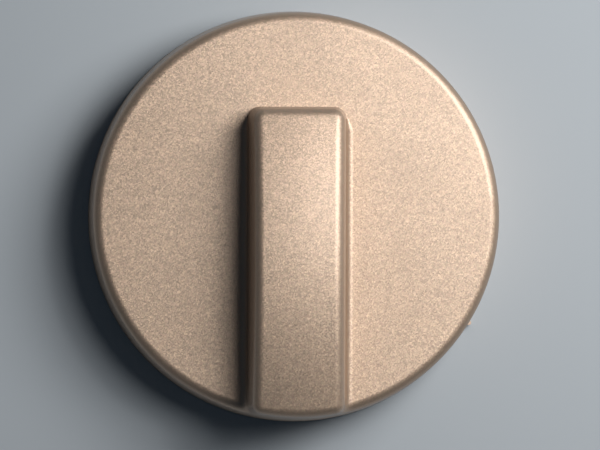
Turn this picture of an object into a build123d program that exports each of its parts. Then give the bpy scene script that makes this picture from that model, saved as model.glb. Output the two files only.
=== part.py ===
from build123d import *
import math
import os

# A round push-on control knob for a D-shaped shaft: a drafted disc with a deep skirt and
# a raised grip bar, moulded in one piece, and the leaf spring that grips the shaft.
# Millimetres, +Z out of the face. The origin is the middle of the rim plane, which lies
# on the panel, and the grip bar runs out to the rim along -Y.

# Outer form
rim_radius = 22.5  # skirt at the panel
face_height = 10.0  # panel to the disc's face
grip_height = 8.6  # face to the grip's crest
grip_width = 10.6  # across the grip where it leaves the face
grip_reach = 11.7  # axis to the grip's blunt end, at the face
crown_radius = 70.0  # arc along the grip's top, with its crest at half the grip's length
cross_crown_radius = 80.0  # arc across the grip's top
draft_angle = 4.0  # degrees, on every outer wall and on the hollow behind it
edge_radius = 1.1  # rim, grip top and grip end
corner_margin = 0.15  # how much rounder the blunt end's corners are than the edges
foot_radius = 0.85  # hollow rounding where the grip's sides meet the face
foot_tip_radius = 0.25  # the same rounding where it starts, by the blunt end's corners
foot_runout = 1.3  # length over which it grows from its start
wall = 2.0  # moulded wall all round

# Gate mark, a small nub low on the skirt
gate_angle = -31.0  # degrees from +X
gate_radius = 0.25
gate_height = 1.0

# Shaft socket
shaft_radius = 4.0
shaft_across_flat = 6.5
socket_clearance = 0.05  # shaft to the keyed part of the socket
key_clearance = 0.1  # shaft's flat to the socket's key
lead_clearance = 0.3  # shaft to the round mouth of the socket
lead_depth = 3.5
lead_chamfer = 0.5
socket_depth = 11.0
core_radius = 3.0  # blind core above the socket, which leaves a shoulder for the shaft's end
boss_radius = 6.0
boss_recess = 0.6  # the boss stops short of the panel
boss_draft = 1.0  # degrees

# Stiffening ribs
rib_count = 4
rib_start_angle = 45.0  # degrees, which keeps the ribs clear of the grip's hollow
rib_thickness = 1.2
rib_recess = 3.0  # panel to the ribs' lower edge

# Leaf spring
spring_thickness = 0.4
spring_width = 3.2
spring_length = 7.0
spring_foot = 1.2  # flat at each end, which lies on the back of the spring's pocket
spring_crest = 1.0  # flat in the middle, which presses on the shaft
spring_bend = 1.5  # inside radius of its bends
spring_bow = 0.85  # crest above the feet
spring_bite = 0.2  # how far the free spring stands past the shaft's flat
spring_clearance = 0.1  # to each side of its pocket and to the pocket's end

# Cuts run this far past the faces that they open, and webs this far into the body
overrun = 1.0

total_height = face_height + grip_height
corner_radius = edge_radius + corner_margin
grip_middle = (grip_reach - rim_radius) / 2
lead_radius = shaft_radius + lead_clearance
socket_radius = shaft_radius + socket_clearance
shaft_flat = shaft_across_flat - shaft_radius
key_flat = shaft_flat + key_clearance
pocket_back = shaft_flat - spring_bite + spring_bow + spring_thickness
pocket_width = spring_width + 2 * spring_clearance
socket_top = boss_recess + socket_depth
core_top = total_height - wall


def moulded_form(inset):
    """The knob's drafted disc and grip, drawn in by one inset on every side."""
    grip_end = grip_reach - inset
    grip_length = grip_end + rim_radius
    with BuildSketch(Plane.XY.offset(face_height - inset)) as grip_plan:
        with Locations((0, grip_end - grip_length / 2)):
            Rectangle(grip_width - 2 * inset, grip_length)
    with BuildSketch() as rim_plan:
        Circle(rim_radius - inset)
    # The crown's section lies below its axis, so that the seam of its turn is off the grip's top
    crown_centre = total_height - crown_radius
    crown_axis = Axis((0, grip_middle, crown_centre), (1, 0, 0))
    with BuildSketch(Plane.XZ.offset(-grip_middle)) as crown_section:
        with Locations((0, crown_centre - crown_radius + cross_crown_radius)):
            Circle(cross_crown_radius - inset)
        with Locations((0, crown_centre)):
            Rectangle(2 * rim_radius, crown_radius, align=(Align.CENTER, Align.MAX), mode=Mode.INTERSECT)
    # The grip starts out too long and too tall: the skirt's cone and the crown trim it
    extrude(grip_plan.sketch, amount=grip_height + overrun, taper=draft_angle)
    extrude(rim_plan.sketch, amount=total_height + overrun, taper=draft_angle, mode=Mode.INTERSECT)
    revolve(crown_section.sketch, axis=crown_axis, mode=Mode.INTERSECT)
    extrude(rim_plan.sketch, amount=face_height - inset, taper=draft_angle)


def foot_web(y, radius):
    """Draws, across the grip at y, the web that rounds its right side into the face."""
    lean = math.radians(draft_angle)
    reach = radius * (1 - math.sin(lean)) / math.cos(lean)
    side = grip_width / 2
    low = (side + reach, face_height)
    high = (side - reach * math.sin(lean), face_height + reach * math.cos(lean))
    back = side - overrun
    under = face_height - overrun
    with BuildSketch(Plane.XZ.offset(-y)) as web:
        with BuildLine():
            TangentArc(low, high, tangent=(-1, 0))
            Polyline(high, (back, high[1]), (back, under), (low[0], under), low)
        make_face()
    return web.sketch


# Hollow under the knob: the form drawn in by one wall, less the boss and the ribs
with BuildPart() as hollow:
    moulded_form(wall)
    with BuildSketch(Plane.XY.offset(boss_recess)):
        Circle(boss_radius)
    extrude(amount=total_height, taper=-boss_draft, mode=Mode.SUBTRACT)
    with BuildSketch(Plane.XY.offset(rib_recess)):
        with PolarLocations(rim_radius / 2, rib_count, start_angle=rib_start_angle):
            Rectangle(rim_radius, rib_thickness)
    extrude(amount=face_height - wall - rib_recess, mode=Mode.SUBTRACT)

# Foot roundings on both sides of the grip: they grow from its corners and run out to the rim
with BuildPart() as feet:
    foot_start = grip_reach - corner_radius
    foot_full = foot_start - foot_runout
    full_web = foot_web(foot_full, foot_radius)
    loft([foot_web(foot_start, foot_tip_radius), full_web], ruled=True)
    extrude(full_web, amount=foot_full + rim_radius)
    mirror(about=Plane.YZ)
    with BuildSketch():
        Circle(rim_radius)
    extrude(amount=total_height, taper=draft_angle, mode=Mode.INTERSECT)

# Moulded body
with BuildPart() as knob_body:
    moulded_form(0)

    # Upright corners of the grip's blunt end
    uprights = knob_body.edges().filter_by(lambda e: e.bounding_box().size.Z > grip_height / 2)
    fillet(uprights.sort_by(Axis.Y)[-2:], corner_radius)

    add(feet.part)

    # One rounding that follows the rim, climbs the grip's end and goes round its top
    skirt_face = knob_body.faces().filter_by(GeomType.CONE).sort_by(SortBy.AREA)[-1]
    crown_face = knob_body.faces().sort_by(Axis.Z)[-1]
    rim_edges = skirt_face.edges().filter_by_position(Axis.Z, face_height, total_height)
    crown_edges = crown_face.edges().filter_by(lambda e: e not in rim_edges)
    fillet(rim_edges + crown_edges, edge_radius)

    # Gate mark on the skirt
    with BuildSketch():
        with PolarLocations(rim_radius, 1, start_angle=gate_angle):
            Circle(gate_radius)
    extrude(amount=gate_height)

    add(hollow.part, mode=Mode.SUBTRACT)

    # Round mouth of the socket, with a chamfer to lead the shaft in
    with BuildSketch(Plane.XY.offset(boss_recess)):
        Circle(lead_radius)
    extrude(amount=lead_depth, mode=Mode.SUBTRACT)
    boss_end = knob_body.faces().filter_by(Axis.Z).filter_by_position(Axis.Z, boss_recess, boss_recess)
    chamfer(boss_end.edges().sort_by(SortBy.LENGTH)[0], lead_chamfer)

    # Keyed part of the socket: a D, with a pocket for the spring behind its flat
    with BuildSketch(Plane.XY.offset(boss_recess + lead_depth)):
        Circle(socket_radius)
        with Locations((0, key_flat)):
            Rectangle(2 * socket_radius, socket_radius, align=(Align.CENTER, Align.MIN), mode=Mode.SUBTRACT)
        Rectangle(pocket_width, pocket_back, align=(Align.CENTER, Align.MIN))
    extrude(amount=socket_depth - lead_depth, mode=Mode.SUBTRACT)

    # Blind core that keeps the wall over the socket from being too thick
    with BuildSketch(Plane.XY.offset(socket_top)):
        Circle(core_radius)
    extrude(amount=core_top - socket_top, mode=Mode.SUBTRACT)

# Leaf spring: feet flat on the pocket's back, bowed towards the shaft between them
with BuildPart() as shaft_spring:
    spring_top = socket_top - spring_clearance
    spring_bottom = spring_top - spring_length
    spring_middle = spring_top - spring_length / 2
    crest_back = pocket_back - spring_bow
    with BuildSketch(Plane.YZ):
        with BuildLine():
            leaf_back = FilletPolyline(
                (pocket_back, spring_bottom),
                (pocket_back, spring_bottom + spring_foot),
                (crest_back, spring_middle - spring_crest / 2),
                (crest_back, spring_middle + spring_crest / 2),
                (pocket_back, spring_top - spring_foot),
                (pocket_back, spring_top),
                radius=spring_bend,
            )
            offset(leaf_back, amount=spring_thickness, side=Side.LEFT)
        make_face()
    extrude(amount=spring_width / 2, both=True)

knob_body.part.label = "knob_body"
shaft_spring.part.label = "shaft_spring"
os.makedirs("parts", exist_ok=True)
export_step(knob_body.part, "parts/knob_body.step")
export_step(shaft_spring.part, "parts/shaft_spring.step")
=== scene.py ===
import math

import bpy
from mathutils import Matrix, Vector

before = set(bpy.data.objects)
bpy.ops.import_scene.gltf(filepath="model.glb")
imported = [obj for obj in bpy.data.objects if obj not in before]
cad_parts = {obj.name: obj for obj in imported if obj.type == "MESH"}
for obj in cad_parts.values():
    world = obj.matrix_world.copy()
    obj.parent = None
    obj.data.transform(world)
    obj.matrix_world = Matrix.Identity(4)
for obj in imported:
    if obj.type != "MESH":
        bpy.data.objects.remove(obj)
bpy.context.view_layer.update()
scene = bpy.context.scene
MM = 0.001

# Outer form of the knob, with the sizes of its construction
RIM = 22.5 * MM
FACE = 10 * MM
CREST = 18.6 * MM
HALF_GRIP = 5.3 * MM
GRIP_END = 11.7 * MM
CROWN = 70 * MM
CROSS_CROWN = 80 * MM
DRAFT = math.tan(math.radians(4))

# Paint
SKIN = 1.0 * MM  # deeper inside the outer form than this, the shell is bare
MASK_BLUR = 0.25 * MM
FLAKE_SIZE = 0.105 * MM
FLAKE_LEAN = 0.17
FLAKE_MIDDLE = (0.5, 0.5, 0.5)
FLAKE_TINT_SPAN = (0.07, 0.06, 0.08)
FLAKE_TINT_LOW = (0.965, 0.97, 0.96)
PAINT = (0.67, 0.49, 0.355, 1)
PAINT_METALLIC = 0.85
PAINT_ROUGHNESS = (0.53, 0.57)
PAINT_EDGE_TINT = (0.30, 0.40, 0.50, 1)
PAINT_DRIFT = (0.97, 1.03)
LACQUER_WEIGHT = 0.7
LACQUER_ROUGHNESS = 0.4
LACQUER_IOR = 1.7

# Bare plastic and spring steel
PLASTIC_DARK = (0.085, 0.085, 0.088, 1)
PLASTIC_LIGHT = (0.12, 0.118, 0.115, 1)
PLASTIC_ROUGHNESS = 0.55
STEEL_DARK = (0.40, 0.40, 0.41, 1)
STEEL_LIGHT = (0.58, 0.58, 0.58, 1)
STEEL_ROUGHNESS = (0.24, 0.4)

# Noise in waves per metre, and the part of its range that counts
DRIFT_WAVES = 90.0
GLOSS_WAVES = 160.0
PLASTIC_WAVES = 700.0
STEEL_WAVES = (9000.0, 9000.0, 500.0)
NOISE_RANGE = (0.3, 0.7)

# Mesh shading
JOIN_DISTANCE = 0.0005 * MM
HARD_EDGE = math.radians(30)

# Floor and fill light
FLOOR_SIZE = 4.0
FLOOR_DROP = 0.02 * MM
FLOOR_COLOUR = (0.53, 0.57, 0.60, 1)
FLOOR_ROUGHNESS = 0.7
FLOOR_SPECULAR = 0.2
FILL_COLOUR = (0.55, 0.75, 1.0, 1)
FILL_STRENGTH = 0.04

# Camera: almost straight down, a little from the left and from below
FRAME_WIDTH = 600  # pixels
SCALE = 9.11 / MM  # pixels per metre at the panel
STAND = Vector((-0.038, -0.008, 1.0)) * 0.45
AIM = Vector((0.747, -0.934, 0.0)) * MM
ROLL = math.radians(0.2)
SENSOR_WIDTH = 36.0
CLIP_START = 0.01
CLIP_END = 20.0


# Shader helpers
def new_material(name):
    material = bpy.data.materials.new(name)
    material.use_nodes = True
    tree = material.node_tree
    return material, tree, tree.nodes["Principled BSDF"]


def feed(tree, socket, value):
    """Sets a socket to a number or joins it to another node's output."""
    if isinstance(value, bpy.types.NodeSocket):
        tree.links.new(value, socket)
    else:
        socket.default_value = value


def calc(tree, operation, *values):
    node = tree.nodes.new("ShaderNodeMath")
    node.operation = operation
    for socket, value in zip(node.inputs, values):
        feed(tree, socket, value)
    return node.outputs[0]


def square(tree, value):
    return calc(tree, "MULTIPLY", value, value)


def vector_calc(tree, operation, *values, scale=None):
    node = tree.nodes.new("ShaderNodeVectorMath")
    node.operation = operation
    for socket, value in zip(node.inputs, values):
        feed(tree, socket, value)
    if scale is not None:
        feed(tree, node.inputs["Scale"], scale)
    return node.outputs[0]


def ramp(tree, value, span, outputs=(0.0, 1.0), smooth=False):
    """Maps a span of values to a span of outputs, and holds the outputs beyond it."""
    node = tree.nodes.new("ShaderNodeMapRange")
    node.interpolation_type = "SMOOTHSTEP" if smooth else "LINEAR"
    for socket, v in zip(node.inputs, (value, *span, *outputs)):
        feed(tree, socket, v)
    return node.outputs[0]


def mix(tree, share, a, b, kind="FLOAT", blend="MIX"):
    node = tree.nodes.new("ShaderNodeMix")
    node.data_type = kind
    if kind == "RGBA":
        node.blend_type = blend
    slots = {"FLOAT": (0, 2, 3), "RGBA": (0, 6, 7)}[kind]
    for slot, value in zip(slots, (share, a, b)):
        feed(tree, node.inputs[slot], value)
    return node.outputs[{"FLOAT": 0, "RGBA": 2}[kind]]


def noise(tree, place, waves, detail):
    node = tree.nodes.new("ShaderNodeTexNoise")
    tree.links.new(place, node.inputs["Vector"])
    node.inputs["Scale"].default_value = waves
    node.inputs["Detail"].default_value = detail
    return node.outputs["Fac"]


def object_place(tree):
    return tree.nodes.new("ShaderNodeTexCoord").outputs["Object"]


# Metallic paint outside, bare moulded plastic inside
def inside_mask(tree, place):
    """1 on the hollow side of the shell, which lies more than a skin's depth inside the outer form."""
    split = tree.nodes.new("ShaderNodeSeparateXYZ")
    tree.links.new(place, split.inputs[0])
    x, y, z = split.outputs
    radius = calc(tree, "SQRT", calc(tree, "ADD", square(tree, x), square(tree, y)))
    drawn_in = calc(tree, "MULTIPLY", z, DRAFT)
    along = calc(tree, "SUBTRACT", y, (GRIP_END - RIM) / 2)
    fall = calc(tree, "DIVIDE", square(tree, along), 2 * CROWN)
    cross_fall = calc(tree, "DIVIDE", square(tree, x), 2 * CROSS_CROWN)
    crowned = calc(tree, "ADD", z, calc(tree, "ADD", fall, cross_fall))
    side = calc(tree, "ADD", drawn_in, calc(tree, "ABSOLUTE", x))
    end = calc(tree, "ADD", drawn_in, y)

    # Room that is left from each place to the skin behind the skirt, the face and the grip
    grip_shift = FACE * DRAFT - SKIN
    rim_room = calc(tree, "SUBTRACT", RIM - SKIN, calc(tree, "ADD", drawn_in, radius))
    face_room = calc(tree, "SUBTRACT", FACE - SKIN, z)
    side_room = calc(tree, "SUBTRACT", HALF_GRIP + grip_shift, side)
    end_room = calc(tree, "SUBTRACT", GRIP_END + grip_shift, end)
    top_room = calc(tree, "SUBTRACT", CREST - SKIN, crowned)
    grip_room = calc(tree, "MINIMUM", calc(tree, "MINIMUM", side_room, end_room), top_room)

    blur = (-MASK_BLUR, MASK_BLUR)
    rooms = (rim_room, face_room, grip_room)
    in_rim, in_disc, in_grip = [ramp(tree, room, blur, smooth=True) for room in rooms]
    return calc(tree, "MULTIPLY", in_rim, calc(tree, "MAXIMUM", in_disc, in_grip))


def metallic_paint():
    material, tree, bsdf = new_material("champagne_paint")
    place = object_place(tree)
    inside = inside_mask(tree, place)

    # Flakes: each cell leans its own way and has its own tint
    cells = tree.nodes.new("ShaderNodeTexVoronoi")
    tree.links.new(place, cells.inputs["Vector"])
    cells.inputs["Scale"].default_value = 1 / FLAKE_SIZE
    flake = cells.outputs["Color"]
    lean = vector_calc(tree, "SUBTRACT", flake, FLAKE_MIDDLE)
    lean = vector_calc(tree, "SCALE", lean, scale=mix(tree, inside, FLAKE_LEAN, 0.0))
    normal = tree.nodes.new("ShaderNodeNewGeometry").outputs["Normal"]
    leaning = vector_calc(tree, "NORMALIZE", vector_calc(tree, "ADD", normal, lean))
    tree.links.new(leaning, bsdf.inputs["Normal"])

    # Colour, with a slow drift in the paint
    tint = vector_calc(tree, "MULTIPLY_ADD", flake, FLAKE_TINT_SPAN, FLAKE_TINT_LOW)
    paint = mix(tree, 1.0, PAINT, tint, "RGBA", "MULTIPLY")
    drift = ramp(tree, noise(tree, place, DRIFT_WAVES, 3.0), NOISE_RANGE, PAINT_DRIFT)
    paint = vector_calc(tree, "SCALE", paint, scale=drift)
    bare = mix(tree, noise(tree, place, PLASTIC_WAVES, 4.0), PLASTIC_DARK, PLASTIC_LIGHT, "RGBA")
    tree.links.new(mix(tree, inside, paint, bare, "RGBA"), bsdf.inputs["Base Color"])

    # Metallic sheen
    tree.links.new(mix(tree, inside, PAINT_METALLIC, 0.0), bsdf.inputs["Metallic"])
    patch = ramp(tree, noise(tree, place, GLOSS_WAVES, 3.0), NOISE_RANGE, PAINT_ROUGHNESS)
    tree.links.new(mix(tree, inside, patch, PLASTIC_ROUGHNESS), bsdf.inputs["Roughness"])
    bsdf.inputs["Specular Tint"].default_value = PAINT_EDGE_TINT

    # Clear lacquer over the flakes
    tree.links.new(mix(tree, inside, LACQUER_WEIGHT, 0.0), bsdf.inputs["Coat Weight"])
    bsdf.inputs["Coat Roughness"].default_value = LACQUER_ROUGHNESS
    bsdf.inputs["Coat IOR"].default_value = LACQUER_IOR
    return material


def spring_steel():
    material, tree, bsdf = new_material("rolled_spring_steel")
    stretched = vector_calc(tree, "MULTIPLY", object_place(tree), STEEL_WAVES)
    grain = noise(tree, stretched, 1.0, 3.0)
    tree.links.new(mix(tree, grain, STEEL_DARK, STEEL_LIGHT, "RGBA"), bsdf.inputs["Base Color"])
    bsdf.inputs["Metallic"].default_value = 1.0
    tree.links.new(ramp(tree, grain, NOISE_RANGE, STEEL_ROUGHNESS), bsdf.inputs["Roughness"])
    return material


def dress(name, material):
    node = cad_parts[name]
    node.data.materials.clear()
    node.data.materials.append(material)
    return node


def smooth_skin(node):
    """Joins the mesh's faces again and shades rounded edges smooth, with the hard edges kept."""
    group = bpy.data.node_groups.new("joined_skin", "GeometryNodeTree")
    group.interface.new_socket("Geometry", in_out="INPUT", socket_type="NodeSocketGeometry")
    group.interface.new_socket("Geometry", in_out="OUTPUT", socket_type="NodeSocketGeometry")
    start = group.nodes.new("NodeGroupInput")
    end = group.nodes.new("NodeGroupOutput")
    join = group.nodes.new("GeometryNodeMergeByDistance")
    join.inputs["Distance"].default_value = JOIN_DISTANCE
    drop = group.nodes.new("GeometryNodeRemoveAttribute")
    drop.inputs["Name"].default_value = "custom_normal"
    faces = group.nodes.new("GeometryNodeSetShadeSmooth")
    faces.domain = "FACE"
    angle = group.nodes.new("GeometryNodeInputMeshEdgeAngle")
    soft = group.nodes.new("FunctionNodeCompare")
    soft.operation = "LESS_THAN"
    soft.inputs[1].default_value = HARD_EDGE
    edges = group.nodes.new("GeometryNodeSetShadeSmooth")
    edges.domain = "EDGE"
    group.links.new(start.outputs[0], join.inputs["Geometry"])
    group.links.new(join.outputs[0], drop.inputs[0])
    group.links.new(drop.outputs[0], faces.inputs[0])
    group.links.new(faces.outputs[0], edges.inputs[0])
    group.links.new(angle.outputs["Unsigned Angle"], soft.inputs[0])
    group.links.new(soft.outputs[0], edges.inputs["Shade Smooth"])
    group.links.new(edges.outputs[0], end.inputs[0])
    node.modifiers.new("joined_skin", "NODES").node_group = group
    weighted = node.modifiers.new("weighted_normals", "WEIGHTED_NORMAL")
    weighted.keep_sharp = True


for name, material in (("knob_body", metallic_paint()), ("shaft_spring", spring_steel())):
    smooth_skin(dress(name, material))

# Floor
bpy.ops.mesh.primitive_plane_add(size=FLOOR_SIZE, location=(0, 0, -FLOOR_DROP))
floor = bpy.context.object
floor.name = "floor"
floor_paint, _, bsdf = new_material("pale_floor")
bsdf.inputs["Base Color"].default_value = FLOOR_COLOUR
bsdf.inputs["Roughness"].default_value = FLOOR_ROUGHNESS
bsdf.inputs["Specular IOR Level"].default_value = FLOOR_SPECULAR
floor.data.materials.append(floor_paint)

# World: a low even fill
world = bpy.data.worlds.new("studio")
scene.world = world
world.use_nodes = True
fill = world.node_tree.nodes["Background"]
fill.inputs["Color"].default_value = FILL_COLOUR
fill.inputs["Strength"].default_value = FILL_STRENGTH


# Soft lamps, turned to the knob and placed by their angles from overhead and from the right
def lamp(name, lean, turn, away, size, power):
    lean, turn = math.radians(lean), math.radians(turn)
    reach = math.sin(lean)
    way = Vector((reach * math.cos(turn), reach * math.sin(turn), math.cos(lean)))
    data = bpy.data.lights.new(name, "AREA")
    data.shape = "DISK"
    data.size = size
    data.energy = power
    ob = bpy.data.objects.new(name, data)
    scene.collection.objects.link(ob)
    ob.location = Vector((0, 0, FACE)) + away * way
    ob.rotation_mode = "QUATERNION"
    ob.rotation_quaternion = way.to_track_quat("Z", "Y")


lamp("key", lean=21, turn=27, away=0.20, size=0.075, power=0.114)
lamp("side", lean=42, turn=33, away=0.20, size=0.12, power=0.25)

# Camera, framed to the photo's scale
camera = bpy.data.objects.new("camera", bpy.data.cameras.new("camera"))
scene.collection.objects.link(camera)
scene.camera = camera
ahead = (AIM - STAND).normalized()
right = ahead.cross(Vector((0, 1, 0))).normalized()
turned = Matrix((right, right.cross(ahead), -ahead)).transposed() @ Matrix.Rotation(ROLL, 3, "Z")
camera.matrix_world = Matrix.Translation(STAND) @ turned.to_4x4()
camera.data.sensor_fit = "HORIZONTAL"
camera.data.sensor_width = SENSOR_WIDTH
camera.data.lens = SCALE * (AIM - STAND).length / FRAME_WIDTH * SENSOR_WIDTH
camera.data.clip_start = CLIP_START
camera.data.clip_end = CLIP_END

scene.view_settings.view_transform = "Standard"
